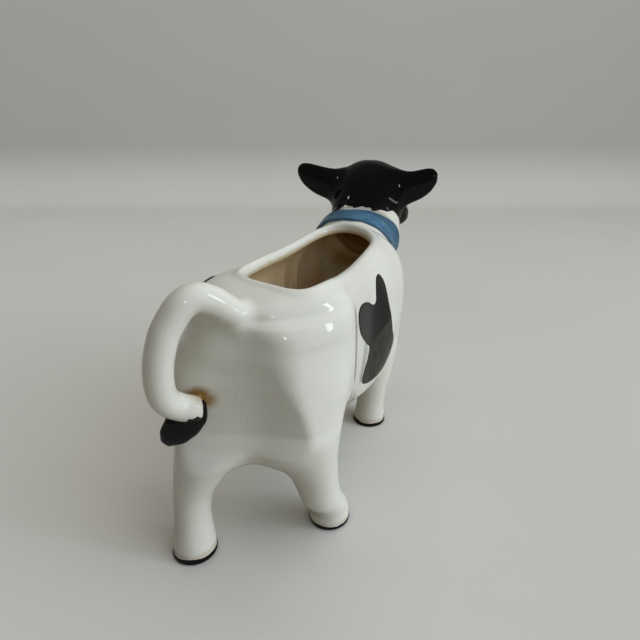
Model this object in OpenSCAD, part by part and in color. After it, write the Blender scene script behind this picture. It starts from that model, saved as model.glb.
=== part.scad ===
// Cow creamer: a glazed jug in the shape of a standing cow.
// It is filled through the opening in the back, held by the curled tail and poured from the mouth.
// Frame: +X runs to the muzzle, +Y is the cow's left, +Z is up. The origin is on the table,
// midway between the back of the tail and the muzzle.

/* [Overall] */
// Length from the back of the tail loop to the muzzle
cow_l = 196; // [170:1:230]
// Height from the table to the poll
cow_h = 135; // [115:1:160]

/* [Barrel] */
// Width of the barrel over the ribs
barrel_w = 56; // [48:1:66]
// Thickness of the cast wall
wall_t = 4; // [3:0.1:5]

/* [Filling opening] */
// Length of the opening along the back, to the middle of its rolled lip
opening_l = 100; // [90:1:104]
// Width of the opening at its widest, to the middle of its rolled lip
opening_w = 36; // [28:1:38]
// Thickness of the rolled lip
lip_d = 4; // [3:0.1:4.4]

/* [Collar] */
// Height that the collar stands proud of the neck
collar_t = 1.2; // [0.8:0.1:2]

/* [Head] */
// Width of the head across the cheeks
head_w = 37.4; // [34:0.2:42]
// Width over both ear tips
ears_w = 78; // [68:1:90]
// Depth of an ear from its front to its back
ear_t = 8; // [6:0.5:10]
// Width of the pouring mouth
mouth_w = 17; // [13:0.5:20]
// Height of the pouring mouth
mouth_h = 8; // [6:0.5:9]
// Thickness of the lips round the mouth
mouth_lip_d = 3; // [2:0.1:4]
// Diameter of an eye
eye_d = 6.4; // [5:0.1:8]

/* [Tail] */
// Diameter of the tail, which is the handle
tail_d = 9.2; // [7:0.1:11]
// Width of the tuft
tuft_w = 12; // [8:0.5:13]
// Thickness of the tuft
tuft_t = 8; // [5:0.5:9]

/* [Legs] */
// Length of a hoof along the cow
hoof_l = 16.5; // [14:0.5:19]
// Width of a hoof
hoof_w = 16.4; // [14:0.1:18]
// Height of the black band at the foot
hoof_h = 2.6; // [1.5:0.1:5]

/* [Glaze] */
// Thickness of the black glaze patches
glaze_t = 0.5; // [0.4:0.05:0.8]

/* [Hidden] */

// The tables of shares are in hundredths of the size that they follow
percent = 0.01;
left = 1;
right = -1;

// Fineness of the forms
body_steps = 32;
body_sides = 32;
hollow_steps = 18;
hollow_sides = 20;
head_steps = 17;
head_hollow_steps = 12;
mouth_lip_steps = 16;
mouth_steps = 8;
round_fn = 16;
leg_fn = 20;
tail_fn = 12;
lip_fn = 8;
// What cuts run past the faces that they open
overrun = wall_t / 8;
// A patch is cut from this far off the cow's middle outward
patch_in = barrel_w / 8;

// One section of the body to a row: top line along and up, bottom line along and up, half width,
// height of the widest place between bottom and top, squareness above it and below it
body_shares = [
    [-41.1, 59.3, -41.1, 48.9,  21, 50, 2.0, 2.0],
    [-40.9, 64.1, -40.8, 42.2,  41, 50, 2.1, 2.0],
    [-39.8, 68.9, -39.3, 34.1,  61, 52, 2.4, 2.2],
    [-37.5, 72.8, -37.0, 28.9,  80, 56, 3.0, 2.4],
    [-33.7, 74.8, -32.7, 26.6,  96, 60, 3.6, 2.5],
    [-29.1, 75.6, -27.6, 26.4, 105, 62, 4.0, 2.6],
    [-24.5, 75.8, -22.4, 26.1, 104, 62, 4.0, 2.7],
    [-19.4, 75.9, -17.9, 25.2,  99, 60, 3.8, 2.9],
    [-10.2, 75.9,  -9.2, 22.9,  96, 58, 3.6, 3.1],
    [  0.0, 75.9,   0.0, 20.8,  98, 56, 3.4, 3.1],
    [  8.2, 76.1,   9.2, 19.8, 103, 54, 3.2, 3.0],
    [ 14.8, 76.6,  17.3, 20.8, 106, 52, 2.9, 2.7],
    [ 18.3, 77.2,  26.0, 28.1, 105, 52, 2.5, 2.3],
    [ 20.0, 77.9,  30.6, 40.4,  91, 52, 2.2, 2.1],
    [ 20.8, 78.6,  32.6, 52.3,  77, 52, 2.0, 2.0],
    [ 23.3, 81.3,  35.1, 56.1,  72, 50, 2.0, 2.0],
    [ 25.0, 84.0,  36.9, 59.2,  69, 50, 2.0, 2.0]
];
collar_low_row = 14;
collar_high_row = 15;
neck_end_row = 16;
// The collar's profile: up along the neck, and out from the clay
collar_profile_shares = [[-20, -100], [-20, 50], [0, 100], [100, 100], [120, 50], [120, -100]];

// The head's sections, from the end of the neck to the muzzle, with widths following the head
head_shares = [
    [26.6, 88.3, 38.0, 62.2, 102, 50, 2.0, 2.0],
    [30.2, 95.0, 38.9, 65.2, 101, 50, 2.0, 2.0],
    [34.0, 98.8, 39.8, 67.6,  98, 50, 2.1, 2.0],
    [38.2, 98.8, 41.2, 68.6,  95, 50, 2.2, 2.0],
    [41.8, 95.0, 42.9, 69.0,  90, 50, 2.3, 2.0],
    [44.4, 89.6, 44.6, 69.4,  90, 48, 2.3, 2.1],
    [46.6, 85.4, 46.4, 69.6,  98, 46, 2.3, 2.3],
    [48.4, 83.0, 48.1, 70.2, 101, 46, 2.4, 2.4],
    [49.6, 81.2, 49.4, 71.8,  88, 50, 2.2, 2.2],
    [50.0, 79.0, 50.0, 74.4,  50, 50, 2.0, 2.0]
];
// The hollow ends at this row of the table, before the muzzle
head_hollow_last_row = 5;
// The mouth opens at this height, and its way in starts this far along
mouth_z = 76.4 * percent * cow_h;
mouth_start_x = 43.5 * percent * cow_l;
mouth_end_x = 50 * percent * cow_l;
// The corners of the mouth lie this much higher than its middle
mouth_bow = mouth_h / 10;

// Filling opening, cut by hand a little to the cow's right: its rear end, and its outline from
// there round by the right side, in lengths and half widths
opening_x = -31.5 * percent * cow_l;
opening_shares = [
    [ 0.5, -22], [-0.9, -59], [ 0.5, -84], [ 4.7, -99], [11.7, -107], [21.7, -112], [36.7, -111],
    [53.7, -106], [69.7, -103], [81.7, -99], [90.7, -85], [96.7, -58], [99.7, -20], [99.9, 18],
    [97.1, 52], [90.7, 73], [79.7, 81], [61.7, 83], [41.7, 83], [23.7, 81], [13.7, 74],
    [ 7.1, 58], [ 2.9, 22]
];

// The cut comes down to this height, and its walls lie this far outside the lip's middle line
opening_cut_z = 60 * percent * cow_h;
lip_cover = lip_d / 4;
// The round tool's flat sides are turned by this, away from the lip's own
tool_turn = 10;
// The lip stands this far proud of the back
lip_proud = lip_d / 10;

// Tail: its middle line in round shares of the length, the ear span and the height, and its
// thickness
tail_shares = [
    [-34.5,  0.4, 65.0, 100], [-38.4,  1.7, 70.9, 100], [-39.9,  3.8, 73.2, 100],
    [-41.6,  6.4, 75.5, 100], [-43.6,  9.9, 76.9, 100], [-45.2, 13.4, 75.8, 100],
    [-46.5, 17.3, 72.1, 100], [-47.3, 20.0, 68.2, 100], [-47.6, 22.9, 61.6, 100],
    [-47.0, 24.4, 55.3, 100], [-45.8, 24.1, 51.5, 100], [-44.1, 21.5, 49.0,  98],
    [-42.9, 18.2, 48.2,  94], [-41.9, 15.7, 47.9,  78]
];
// The way that the tail's loop faces
tail_facing_shares = [0.6, 0.8, 0.15];
tail_steps = 26;

// Legs: one slice to a row, from the foot up: height, place along, place across, half length and
// half width. Heights follow the cow, lengths and widths follow the hoof.
rear_left_leg_shares = [
    [ 0,   -41.4, 39.0, 100, 100], [ 4.4, -41.3, 39.0,  96,  95], [ 9,   -41.1, 38.9,  88,  85],
    [14,   -40.9, 38.9,  83,  83], [20,   -40.3, 37.2,  92,  94], [26.5, -39.2, 32.4, 116, 127],
    [30.5, -38.2, 28.9, 136, 152], [36,   -36.8, 26.8, 156, 176], [43,   -35.2, 28.0, 170, 190],
    [50,   -33.8, 29.0, 177, 197], [58,   -32.6, 28.0, 164, 187], [64,   -32.1, 24.4, 115, 142]
];
rear_right_leg_shares = [
    [ 0,   -24.2, 36.6, 102,  98], [ 4.4, -24.7, 36.4, 101,  95], [ 8,   -26.0, 35.8, 102,  95],
    [12,   -27.8, 34.8, 104,  94], [18,   -29.1, 33.0, 102, 101], [24.5, -30.1, 30.5, 117, 119],
    [31,   -30.6, 27.3, 144, 143], [37,   -30.9, 25.9, 164, 160], [43,   -30.9, 25.4, 174, 168],
    [50,   -30.6, 25.2, 176, 175], [58,   -30.6, 24.4, 164, 168], [64.5, -30.6, 22.0, 115, 130]
];
front_right_leg_shares = [
    [ 0,    14.8, 30.7, 104, 102], [ 4.4,  14.8, 30.9,  96,  96], [ 9.6,  15.0, 31.6,  87,  89],
    [15.6,  15.4, 32.7,  88,  92], [22,    16.5, 33.2, 106, 108], [29.6,  18.2, 31.6, 142, 132],
    [37.8,  19.4, 28.9, 162, 150], [46,    20.0, 27.7, 165, 158], [54,    19.8, 26.4, 150, 152],
    [60.7,  19.1, 23.2, 108, 116]
];
front_left_leg_shares = [
    [ 0,    24.0, 30.7, 104, 102], [ 4.4,  23.9, 30.9,  96,  96], [ 9.6,  23.5, 31.6,  87,  89],
    [15.6,  22.9, 32.7,  88,  92], [22,    22.0, 33.2, 106, 108], [29.6,  20.8, 31.6, 142, 132],
    [37.8,  20.3, 28.9, 162, 150], [46,    20.1, 27.7, 165, 158], [54,    19.8, 26.4, 150, 152],
    [60.7,  19.1, 23.2, 108, 116]
];
leg_steps = 14;

// An ear's slices, from inside the head to its tip: out along the half span, height of the
// middle, half height as a share of the root's, depth as a share of the full depth
ear_shares = [
    [36, 89.0, 100, 100], [56, 89.6, 100, 90], [70, 90.6, 96, 78], [82, 91.8, 86, 66],
    [92, 93.0, 66, 54], [98, 93.8, 36, 36], [100, 94.0, 14, 18]
];
ear_root_h = 44 * percent * head_w;
ear_x = 34.6 * percent * cow_l;
ear_sweep = 1.0 * percent * cow_l;
ear_steps = 9;

// Eyes, on the side of the face: out from the face and across, from inside the head over the
// raised lids to the middle of the eyeball
eye_x = 41.4 * percent * cow_l;
eye_y = 40 * percent * head_w;
eye_z = 86 * percent * cow_h;
eye_shares = [
    [-40, 100], [10, 116], [22, 126], [32, 124], [38, 114], [38, 102], [44, 84], [49, 56], [51, 22]
];

// Nostrils, in the top of the muzzle
nostril_x = 48.4 * percent * cow_l;
nostril_y = 18 * percent * head_w;
nostril_z = 82.5 * percent * cow_h;
nostril_d = 9 * percent * head_w;

// Tuft: its upper end lies under the end of the tail, its tip hangs free to the left
tuft_top = [-40.6 * percent * cow_l, 15.6 * percent * ears_w, 48.6 * percent * cow_h];
tuft_tip = [-44.5 * percent * cow_l, 31 * percent * ears_w, 38 * percent * cow_h];
tuft_bulge_shares = [16, 52, 80, 96, 100, 98, 88, 68, 34];

// Patches: strokes of the brush, each between two blobs given as along, up and size
right_patch_shares = [
    [ -0.3, 66.2, 2.6], [  0.2, 62.4, 6.0], [  0.2, 58.6, 8.0], [ -6.4, 56.6, 6.6],
    [-15.2, 60.2, 6.6], [-11.0, 56.0, 8.2], [ -4.0, 52.0, 9.8], [  3.6, 49.6, 10.6],
    [  0.6, 44.0, 13.0], [  9.2, 41.4, 10.0], [  6.4, 37.8, 9.4], [  0.4, 37.4, 9.6],
    [ -2.4, 34.9, 6.8], [ -3.4, 33.9, 4.6]
];
left_patch_shares = [
    [-24.5, 69.0, 6.0], [-28.0, 68.6, 7.4], [-28.6, 61.0, 12.0], [-20.0, 56.0, 11.0],
    [-12.0, 57.0, 8.0], [ -9.0, 62.0, 6.0], [-11.0, 55.0, 9.0], [-16.0, 47.0, 7.0],
    [-19.0, 40.0, 5.0]
];

// Smooth curves through a table of rows
function row_of(table, i) = table[max(0, min(len(table) - 1, i))];
function smooth_row(table, u) =
    let (i = floor(u), f = u - i,
         a = row_of(table, i - 1), b = row_of(table, i),
         c = row_of(table, i + 1), d = row_of(table, i + 2))
    b + f * ((c - a) / 2 + f * ((2 * a - 5 * b + 4 * c - d) / 2 + f * (3 * b - 3 * c + d - a) / 2));
function along(table, steps, i) = smooth_row(table, (len(table) - 1) * i / steps);

// A section in real sizes: top point, bottom point, half width, widest place, squareness twice
function section(shares, half_w) = [
    shares[0] * percent * cow_l, shares[1] * percent * cow_h,
    shares[2] * percent * cow_l, shares[3] * percent * cow_h,
    shares[4] * percent * half_w, shares[5] * percent, shares[6], shares[7]
];

// The points round a section, grown outward by "grow" and moved along by "shift"
function ring(s, sides, grow, shift) =
    let (lean = [s[0] - s[2], s[1] - s[3]], h = norm(lean), up = lean / h,
         mid = [s[2] + shift, s[3]] + lean * s[5],
         above = h * (1 - s[5]) + grow, below = h * s[5] + grow, half_w = s[4] + grow)
    [for (i = [0 : sides - 1])
        let (a = 360 * i / sides, c = cos(a), n = sin(a), e = n >= 0 ? s[6] : s[7],
             y = half_w * sign(c) * pow(abs(c), 2 / e),
             v = (n >= 0 ? above : below) * sign(n) * pow(abs(n), 2 / e))
        [mid[0] + up[0] * v, y, mid[1] + up[1] * v]];

// A closed solid through rings of equally many points, whose last ring meets the first in a loop
module loft(rings, loop = false) {
    n = len(rings[0]);
    count = len(rings);
    last = count - 1;
    sides = [for (k = [0 : last - (loop ? 0 : 1)], i = [0 : n - 1])
        let (j = (i + 1) % n, a = k * n, b = ((k + 1) % count) * n)
        each [[a + i, b + j, a + j], [a + i, b + i, b + j]]];
    start = [for (i = [1 : n - 2]) [0, i, i + 1]];
    end = [for (i = [1 : n - 2]) [last * n, last * n + i + 1, last * n + i]];
    polyhedron([for (r = rings) each r], loop ? sides : concat(sides, start, end));
}

// Points of an oval round a place, from its half size in two directions
function oval(place, across, up, sides) =
    [for (i = [0 : sides - 1]) place + across * cos(360 * i / sides) + up * sin(360 * i / sides)];
function unit(v) = v / norm(v);

// One smooth run of hulls between neighbouring rings of points, closed into a loop if asked
module hull_run(rings, closed = false) {
    n = len(rings);
    m = len(rings[0]);
    for (i = [0 : n - (closed ? 1 : 2)])
        hull()
            polyhedron(
                concat(rings[i], rings[(i + 1) % n]),
                [[for (k = [0 : m - 1]) k], [for (k = [2 * m - 1 : -1 : m]) k]]
            );
}

// Outside of the barrel with rump, chest and neck, as one solid
module body_form(grow = 0) {
    loft([for (i = [0 : body_steps])
        ring(section(along(body_shares, body_steps, i), barrel_w / 2), body_sides, grow, 0)]);
}

// Hollow of the barrel and neck. It runs through the end of the neck.
module body_hollow() {
    loft([for (i = [0 : hollow_steps])
        ring(section(along(body_shares, hollow_steps, i), barrel_w / 2), hollow_sides, -wall_t,
             wall_t * (1 - i / hollow_steps) + overrun * max(0, i - hollow_steps + 1))]);
}

// Height of the back's surface at a place along it and across it
back_sections = [for (i = [0 : body_steps]) section(along(body_shares, body_steps, i), barrel_w / 2)];
function back_z(p) =
    let (i = max([for (k = [0 : body_steps - 1]) back_sections[k][0] <= p[0] ? k : 0]),
         a = back_sections[i], b = back_sections[i + 1],
         s = a + (b - a) * (p[0] - a[0]) / (b[0] - a[0]),
         mid_z = s[3] + (s[1] - s[3]) * s[5])
    mid_z + (s[1] - mid_z) * pow(1 - pow(abs(p[1]) / s[4], s[6]), 1 / s[6]);

// Middle line of the opening's lip
lip_places = [for (p = opening_shares)
    [opening_x + p[0] * percent * opening_l, p[1] * percent * opening_w / 2]];

// The rolled lip, one bead round the opening
module opening_lip() {
    n = len(lip_places);
    loft([for (k = [0 : n - 1])
        let (p = lip_places[k], run = unit(lip_places[(k + 1) % n] - lip_places[(k + n - 1) % n]))
        oval(
            [p[0], p[1], back_z(p) - lip_d / 2 + lip_proud],
            [-run[1], run[0], 0] * lip_d / 2, [0, 0, lip_d / 2], lip_fn
        )], true);
}

// The hole in the back, cut with a round tool along the lip's middle line
module opening_cut() {
    n = len(lip_places);
    translate([0, 0, opening_cut_z])
        linear_extrude(cow_h) {
            polygon(lip_places);
            for (k = [0 : n - 1])
                hull()
                    for (p = [lip_places[k], lip_places[(k + 1) % n]])
                        translate(p) rotate(tool_turn) circle(r = lip_cover, $fn = round_fn);
        }
}

module body() {
    color("white") {
        difference() {
            body_form();
            body_hollow();
            opening_cut();
        }
        difference() {
            opening_lip();
            collar_form();
        }
    }
}

// The head as one solid, from the section at the end of the neck
module head_form() {
    neck_end = section(body_shares[neck_end_row], barrel_w / 2);
    rows = concat([neck_end], [for (s = head_shares) section(s, head_w / 2)]);
    loft([for (i = [0 : head_steps]) ring(along(rows, head_steps, i), body_sides, 0, 0)]);
}

module head_hollow() {
    neck_end = section(body_shares[neck_end_row], barrel_w / 2);
    rows = concat([neck_end], [for (k = [0 : head_hollow_last_row]) section(head_shares[k], head_w / 2)]);
    loft([for (i = [0 : head_hollow_steps])
        ring(along(rows, head_hollow_steps, i), hollow_sides, -wall_t, i == 0 ? -overrun : 0)]);
}

// A bowed slot across the muzzle, from inside the head to the front
module mouth_way() {
    half_w = (mouth_w - mouth_h) / 2;
    translate([mouth_start_x, 0, mouth_z])
        rotate([90, 0, 90])
            linear_extrude(mouth_end_x - mouth_start_x + overrun)
                for (i = [0 : mouth_steps - 1])
                    hull()
                        for (s = [2 * i / mouth_steps - 1, 2 * (i + 1) / mouth_steps - 1])
                            translate([s * half_w, s * s * mouth_bow]) circle(d = mouth_h, $fn = round_fn);
}

module mouth_lips() {
    loft([for (i = [0 : mouth_lip_steps - 1])
        let (a = 360 * i / mouth_lip_steps, out = [0, cos(a), sin(a)])
        oval(
            [mouth_end_x - mouth_lip_d / 2, mouth_w / 2 * out[1], mouth_z + mouth_h / 2 * out[2]],
            out * mouth_lip_d / 2, [-mouth_lip_d / 2, 0, 0], lip_fn
        )], true);
}

module head() {
    color("black")
    difference() {
        union() {
            head_form();
            mouth_lips();
        }
        head_hollow();
        mouth_way();
        for (side = [left, right])
            translate([nostril_x, side * nostril_y, nostril_z])
                sphere(d = nostril_d, $fn = lip_fn);
    }
}

// One ear, its slices standing across it
module ear(side) {
    color("black")
    difference() {
        hull_run([for (i = [0 : ear_steps])
            let (s = along(ear_shares, ear_steps, i))
            oval(
                [ear_x - s[0] * percent * ear_sweep,
                 side * s[0] * percent * ears_w / 2, s[1] * percent * cow_h],
                [s[3] * percent * ear_t / 2, 0, 0], [0, 0, s[2] * percent * ear_root_h / 2], round_fn
            )]);
        head_form();
    }
}
module left_ear() ear(left);
module right_ear() ear(right);

module eye(side) {
    color("white")
    difference() {
        hull_run([for (s = eye_shares)
            oval(
                [eye_x, side * (eye_y + s[0] * percent * eye_d), eye_z],
                [s[1] * percent * eye_d / 2, 0, 0], [0, 0, s[1] * percent * eye_d / 2], round_fn
            )]);
        head_form();
    }
}
module left_eye() eye(left);
module right_eye() eye(right);

// The collar: its profile swept round the neck, against the clay. It lies over the opening's lip.
module collar_form() {
    low = section(body_shares[collar_low_row], barrel_w / 2);
    high = section(body_shares[collar_high_row], barrel_w / 2);
    bands = [for (s = collar_profile_shares)
        ring(low + (high - low) * s[0] * percent, body_sides, s[1] * percent * collar_t, 0)];
    difference() {
        hull_run([for (k = [0 : body_sides - 1]) [for (b = bands) b[k]]], true);
        body_form();
    }
}

module collar() {
    color("steelblue")
        collar_form();
}

function tail_place(i) =
    let (s = along(tail_shares, tail_steps, i))
    [s[0] * percent * cow_l, s[1] * percent * ears_w, s[2] * percent * cow_h];

module tail_form() {
    loft([for (i = [0 : tail_steps])
        let (way = unit(tail_place(min(i + 1, tail_steps)) - tail_place(max(i - 1, 0))),
             across = unit(cross(way, tail_facing_shares)),
             r = along(tail_shares, tail_steps, i)[3] * percent * tail_d / 2)
        oval(tail_place(i), across * r, cross(way, across) * r, tail_fn)]);
}

module tail() {
    color("white")
    difference() {
        tail_form();
        body_form();
        leg_form(rear_left_leg_shares, left);
    }
}

module tuft_form() {
    run = tuft_tip - tuft_top;
    level = unit([-run[1], run[0], 0]);
    broad = cross(unit(run), level);
    loft([for (i = [0 : len(tuft_bulge_shares) - 1])
        let (bulge = tuft_bulge_shares[i] * percent)
        oval(
            tuft_top + run * i / (len(tuft_bulge_shares) - 1),
            level * bulge * tuft_t / 2, broad * bulge * tuft_w / 2, round_fn
        )]);
}

module tail_tuft() {
    color("black")
    difference() {
        tuft_form();
        tail_form();
        body_form();
        leg_form(rear_left_leg_shares, left);
    }
}

// One leg with its thigh or shoulder, down to the table
module leg_form(shares, side, grow = 0) {
    hull_run([for (i = [0 : leg_steps])
        let (s = along(shares, leg_steps, i))
        oval(
            [s[1] * percent * cow_l, side * s[2] * percent * barrel_w, s[0] * percent * cow_h],
            [s[3] * percent * hoof_l / 2 + grow, 0, 0], [0, s[4] * percent * hoof_w / 2 + grow, 0], leg_fn
        )]);
}

module leg(shares, side) {
    color("white")
    difference() {
        leg_form(shares, side);
        body_form();
        translate([-cow_l / 2, -cow_l / 2, hoof_h - cow_h])
            cube([cow_l, cow_l, cow_h]);
    }
}
module front_left_leg() leg(front_left_leg_shares, left);
module front_right_leg() leg(front_right_leg_shares, right);
module rear_left_leg() leg(rear_left_leg_shares, left);
module rear_right_leg() leg(rear_right_leg_shares, right);

module hoof(shares, side) {
    s = shares[0];
    color("black")
    translate([s[1] * percent * cow_l, side * s[2] * percent * barrel_w, 0])
        linear_extrude(hoof_h)
            polygon([for (i = [0 : leg_fn - 1])
                [s[3] * percent * hoof_l / 2 * cos(360 * i / leg_fn),
                 s[4] * percent * hoof_w / 2 * sin(360 * i / leg_fn)]]);
}
module front_left_hoof() hoof(front_left_leg_shares, left);
module front_right_hoof() hoof(front_right_leg_shares, right);
module rear_left_hoof() hoof(rear_left_leg_shares, left);
module rear_right_hoof() hoof(rear_right_leg_shares, right);

// All the bare clay under a patch, grown by what the glaze stands proud of it
module clay(grow) {
    body_form(grow);
    leg_form(front_left_leg_shares, left, grow);
    leg_form(front_right_leg_shares, right, grow);
    leg_form(rear_left_leg_shares, left, grow);
    leg_form(rear_right_leg_shares, right, grow);
}

// A patch of black glaze: strokes between neighbouring blobs, on one side of the cow
module patch(shares, side) {
    color("black")
    difference() {
        intersection() {
            clay(glaze_t);
            for (k = [0 : len(shares) - 2])
                hull()
                    for (s = [shares[k], shares[k + 1]])
                        translate([s[0] * percent * cow_l, 0, s[1] * percent * cow_h])
                            rotate([side * -90, 0, 0])
                                translate([0, 0, patch_in])
                                    cylinder(d = s[2] * percent * cow_l, h = barrel_w, $fn = round_fn);
        }
        clay(0);
    }
}
module right_flank_patch() patch(right_patch_shares, right);
module left_flank_patch() patch(left_patch_shares, left);

body();
head();
left_ear();
right_ear();
left_eye();
right_eye();
collar();
tail();
tail_tuft();
front_left_leg();
front_right_leg();
rear_left_leg();
rear_right_leg();
front_left_hoof();
front_right_hoof();
rear_left_hoof();
rear_right_hoof();
right_flank_patch();
left_flank_patch();
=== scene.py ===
"""Cow creamer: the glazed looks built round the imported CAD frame. Sizes are in millimetres
until a mesh is made. +X is towards the muzzle, +Y towards the cow's left and +Z up."""
import math

import bpy
import numpy as np
import openvdb as vdb
from mathutils import Matrix, Vector

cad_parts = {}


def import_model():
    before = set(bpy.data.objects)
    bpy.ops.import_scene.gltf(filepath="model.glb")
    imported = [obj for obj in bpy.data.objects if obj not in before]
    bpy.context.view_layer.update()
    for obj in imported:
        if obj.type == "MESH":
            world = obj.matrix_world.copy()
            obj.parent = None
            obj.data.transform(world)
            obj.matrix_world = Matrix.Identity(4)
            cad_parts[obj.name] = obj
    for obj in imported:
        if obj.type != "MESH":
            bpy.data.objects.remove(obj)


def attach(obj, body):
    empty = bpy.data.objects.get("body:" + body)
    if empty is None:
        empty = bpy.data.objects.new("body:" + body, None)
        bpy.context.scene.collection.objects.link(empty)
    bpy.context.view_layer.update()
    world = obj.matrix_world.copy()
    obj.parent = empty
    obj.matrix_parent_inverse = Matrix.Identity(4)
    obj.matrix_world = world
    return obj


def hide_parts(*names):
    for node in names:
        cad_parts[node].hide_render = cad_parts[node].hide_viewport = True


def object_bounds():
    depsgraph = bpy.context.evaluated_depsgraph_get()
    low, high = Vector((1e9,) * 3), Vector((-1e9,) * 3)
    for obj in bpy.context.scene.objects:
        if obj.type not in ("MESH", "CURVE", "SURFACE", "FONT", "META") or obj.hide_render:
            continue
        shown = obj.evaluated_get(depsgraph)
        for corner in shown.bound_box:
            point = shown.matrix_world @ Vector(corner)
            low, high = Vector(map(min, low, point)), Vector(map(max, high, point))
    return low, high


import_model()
cad_box = [list(c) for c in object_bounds()]
scene = bpy.context.scene
MM = 0.001

# Sizes of the CAD source
COW_L, COW_H, BARREL_W, WALL = 196.0, 135.0, 56.0, 4.0
HEAD_W, EAR_SPAN, EAR_T, EYE_D = 37.4, 78.0, 8.0, 6.4
MOUTH_W, MOUTH_H, LIPS_D = 17.0, 8.0, 3.0
TAIL_D, TUFT_W, TUFT_T = 9.2, 12.0, 8.0
HOOF_L, HOOF_W, HOOF_H, COLLAR_T = 16.5, 16.4, 2.6, 1.2
OPEN_L, OPEN_W, LIP_D = 100.0, 36.0, 4.0
LEFT, RIGHT = 1, -1

# Tables of the CAD source, in hundredths of the sizes above. A section of the body or the head:
# top point along and up, low point along and up, half width, height of the widest place, and
# the squareness above and below that place, which is a plain number
BODY = [
    [-41.1, 59.3, -41.1, 48.9,  21, 50, 2.0, 2.0],
    [-40.9, 64.1, -40.8, 42.2,  41, 50, 2.1, 2.0],
    [-39.8, 68.9, -39.3, 34.1,  61, 52, 2.4, 2.2],
    [-37.5, 72.8, -37.0, 28.9,  80, 56, 3.0, 2.4],
    [-33.7, 74.8, -32.7, 26.6,  96, 60, 3.6, 2.5],
    [-29.1, 75.6, -27.6, 26.4, 105, 62, 4.0, 2.6],
    [-24.5, 75.8, -22.4, 26.1, 104, 62, 4.0, 2.7],
    [-19.4, 75.9, -17.9, 25.2,  99, 60, 3.8, 2.9],
    [-10.2, 75.9,  -9.2, 22.9,  96, 58, 3.6, 3.1],
    [  0.0, 75.9,   0.0, 20.8,  98, 56, 3.4, 3.1],
    [  8.2, 76.1,   9.2, 19.8, 103, 54, 3.2, 3.0],
    [ 14.8, 76.6,  17.3, 20.8, 106, 52, 2.9, 2.7],
    [ 18.3, 77.2,  26.0, 28.1, 105, 52, 2.5, 2.3],
    [ 20.0, 77.9,  30.6, 40.4,  91, 52, 2.2, 2.1],
    [ 20.8, 78.6,  32.6, 52.3,  77, 52, 2.0, 2.0],
    [ 23.3, 81.3,  35.1, 56.1,  72, 50, 2.0, 2.0],
    [ 25.0, 84.0,  36.9, 59.2,  69, 50, 2.0, 2.0]
]
HEAD = [
    [26.6, 88.3, 38.0, 62.2, 102, 50, 2.0, 2.0],
    [30.2, 95.0, 38.9, 65.2, 101, 50, 2.0, 2.0],
    [34.0, 98.8, 39.8, 67.6,  98, 50, 2.1, 2.0],
    [38.2, 98.8, 41.2, 68.6,  95, 50, 2.2, 2.0],
    [41.8, 95.0, 42.9, 69.0,  90, 50, 2.3, 2.0],
    [44.4, 89.6, 44.6, 69.4,  90, 48, 2.3, 2.1],
    [46.6, 85.4, 46.4, 69.6,  98, 46, 2.3, 2.3],
    [48.4, 83.0, 48.1, 70.2, 101, 46, 2.4, 2.4],
    [49.6, 81.2, 49.4, 71.8,  88, 50, 2.2, 2.2],
    [50.0, 79.0, 50.0, 74.4,  50, 50, 2.0, 2.0]
]
# The opening's rim: along from its rear end, and across as a share of half its width
OPENING = [
    [ 0.5, -22], [-0.9, -59], [ 0.5, -84], [ 4.7, -99], [11.7, -107], [21.7, -112], [36.7, -111],
    [53.7, -106], [69.7, -103], [81.7, -99], [90.7, -85], [96.7, -58], [99.7, -20], [99.9, 18],
    [97.1, 52], [90.7, 73], [79.7, 81], [61.7, 83], [41.7, 83], [23.7, 81], [13.7, 74],
    [ 7.1, 58], [ 2.9, 22]
]
# The tail: along, across as a share of the ear span, up, and thickness
TAIL = [
    [-34.5,  0.4, 65.0, 100], [-38.4,  1.7, 70.9, 100], [-39.9,  3.8, 73.2, 100],
    [-41.6,  6.4, 75.5, 100], [-43.6,  9.9, 76.9, 100], [-45.2, 13.4, 75.8, 100],
    [-46.5, 17.3, 72.1, 100], [-47.3, 20.0, 68.2, 100], [-47.6, 22.9, 61.6, 100],
    [-47.0, 24.4, 55.3, 100], [-45.8, 24.1, 51.5, 100], [-44.1, 21.5, 49.0,  98],
    [-42.9, 18.2, 48.2,  94], [-41.9, 15.7, 47.9,  78]
]
# A leg: height, then its middle along and across, and its length and width there
REAR_LEFT = [
    [ 0,   -41.4, 39.0, 100, 100], [ 4.4, -41.3, 39.0,  96,  95], [ 9,   -41.1, 38.9,  88,  85],
    [14,   -40.9, 38.9,  83,  83], [20,   -40.3, 37.2,  92,  94], [26.5, -39.2, 32.4, 116, 127],
    [30.5, -38.2, 28.9, 136, 152], [36,   -36.8, 26.8, 156, 176], [43,   -35.2, 28.0, 170, 190],
    [50,   -33.8, 29.0, 177, 197], [58,   -32.6, 28.0, 164, 187], [64,   -32.1, 24.4, 115, 142]
]
REAR_RIGHT = [
    [ 0,   -24.2, 36.6, 102,  98], [ 4.4, -24.7, 36.4, 101,  95], [ 8,   -26.0, 35.8, 102,  95],
    [12,   -27.8, 34.8, 104,  94], [18,   -29.1, 33.0, 102, 101], [24.5, -30.1, 30.5, 117, 119],
    [31,   -30.6, 27.3, 144, 143], [37,   -30.9, 25.9, 164, 160], [43,   -30.9, 25.4, 174, 168],
    [50,   -30.6, 25.2, 176, 175], [58,   -30.6, 24.4, 164, 168], [64.5, -30.6, 22.0, 115, 130]
]
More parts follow.
